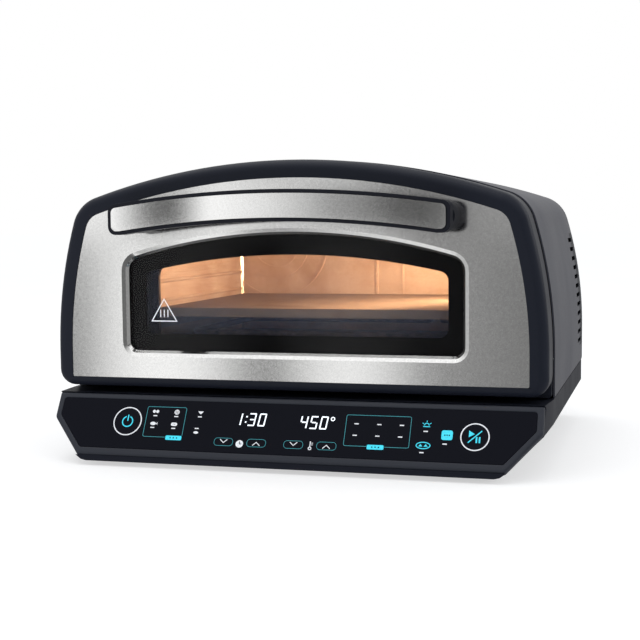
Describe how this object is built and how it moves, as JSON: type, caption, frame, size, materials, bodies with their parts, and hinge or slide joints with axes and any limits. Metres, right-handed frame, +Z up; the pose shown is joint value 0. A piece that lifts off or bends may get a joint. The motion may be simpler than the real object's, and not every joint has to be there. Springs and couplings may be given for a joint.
{
  "type": "countertop pizza oven",
  "caption": "Countertop electric pizza oven: arched housing, drop-down glass door with wide arched handle, baking stone, tilted touch control panel.",
  "frame": {"origin": "middle of the footprint, on the table under the feet", "axes": "+Z up, -Y towards the door and control panel, +X to the viewer's right"},
  "size_m": [0.5134, 0.466, 0.3086],
  "materials": {
    "housing_paint": "satin graphite paint",
    "dark_trim": "satin moulded dark navy",
    "back_paint": "satin dark paint",
    "screw_steel": "zinc-plated",
    "base_plastic": "satin moulded dark navy",
    "zinc_plate": "plain zinc-plated sheet",
    "foot_rubber": "matt",
    "black_plastic": "matt moulded",
    "panel_trim": "satin moulded grey",
    "panel_glass": "gloss black",
    "circuit_board": "laminate",
    "display_light": "lit segments",
    "print_white": "printed",
    "print_cyan": "lit print",
    "print_teal": "printed",
    "door_steel": "fine brushed stainless steel",
    "clear_glass": "clear tempered",
    "black_print": "ceramic print on glass",
    "pan_enamel": "black enamel",
    "handle_black": "satin black",
    "grip_steel": "fine brushed stainless steel",
    "gasket_fibre": "woven heat-proof seal",
    "cavity_steel": "aluminised sheet",
    "corner_steel": "bright rolled sheet",
    "floor_steel": "dark enamel",
    "stone": "cordierite, matt",
    "heater": "oxidised tube",
    "fan_metal": "plain",
    "motor_can": "plain",
    "lamp_glass": "clear",
    "bulb_glass": "lit",
    "insulation_fibre": "mineral wool"
  },
  "bodies": {
    "oven": {"housing_shell": "housing_paint", "vent_strips": "back_paint", "front_frame": "dark_trim", "back_cover": "back_paint", "back_screws": "screw_steel", "base_shell": "base_plastic", "bottom_plate": "zinc_plate", "bottom_screws": "screw_steel", "feet": "foot_rubber", "cord_gland": "black_plastic", "control_frame": "panel_trim", "touch_glass": "panel_glass", "panel_backer": "black_plastic", "control_board": "circuit_board", "display_digits": "display_light", "marks_white": "print_white", "marks_cyan": "print_cyan", "marks_teal": "print_teal", "power_board": "circuit_board", "hinge_arms": "screw_steel", "hinge_pins": "screw_steel", "door_gasket": "gasket_fibre", "liner_left": "cavity_steel", "liner_right": "cavity_steel", "liner_top": "cavity_steel", "liner_floor": "floor_steel", "liner_back": "cavity_steel", "corner_strips": "corner_steel", "rack_guides": "cavity_steel", "stone_rails": "zinc_plate", "upper_element": "heater", "lower_element": "heater", "element_clips": "zinc_plate", "fan_guard": "cavity_steel", "fan_motor": "motor_can", "fan_bracket": "zinc_plate", "lamp_lens": "lamp_glass", "lamp_bulb": "bulb_glass", "lamp_holder": "zinc_plate", "temperature_probe": "zinc_plate", "insulation": "insulation_fibre"},
    "door": {"door_rim": "dark_trim", "door_panel": "door_steel", "outer_glass": "clear_glass", "glass_print": "black_print", "glass_mark": "print_white", "inner_glass": "clear_glass", "door_back_pan": "pan_enamel", "door_spacers": "screw_steel", "hinge_blocks": "screw_steel", "handle_body": "handle_black", "handle_legs": "handle_black", "handle_grip": "grip_steel", "handle_screws": "screw_steel"},
    "stone": {"baking_stone": "stone"},
    "fan": {"fan_impeller": "fan_metal"}
  },
  "joints": [
    {"name": "door_hinge", "type": "hinge", "parent": "oven", "child": "door", "pos_m": [0, -0.1644, 0.094], "axis": [1, 0, 0], "range_deg": [0, 90]},
    {"name": "stone_lift", "type": "slide", "parent": "oven", "child": "stone", "axis": [0, 0, 1], "range_m": [0, 0.055]},
    {"name": "fan_spin", "type": "hinge", "parent": "oven", "child": "fan", "pos_m": [-0.1225, 0.1696, 0.219], "axis": [0, 1, 0], "continuous": true}
  ]
}
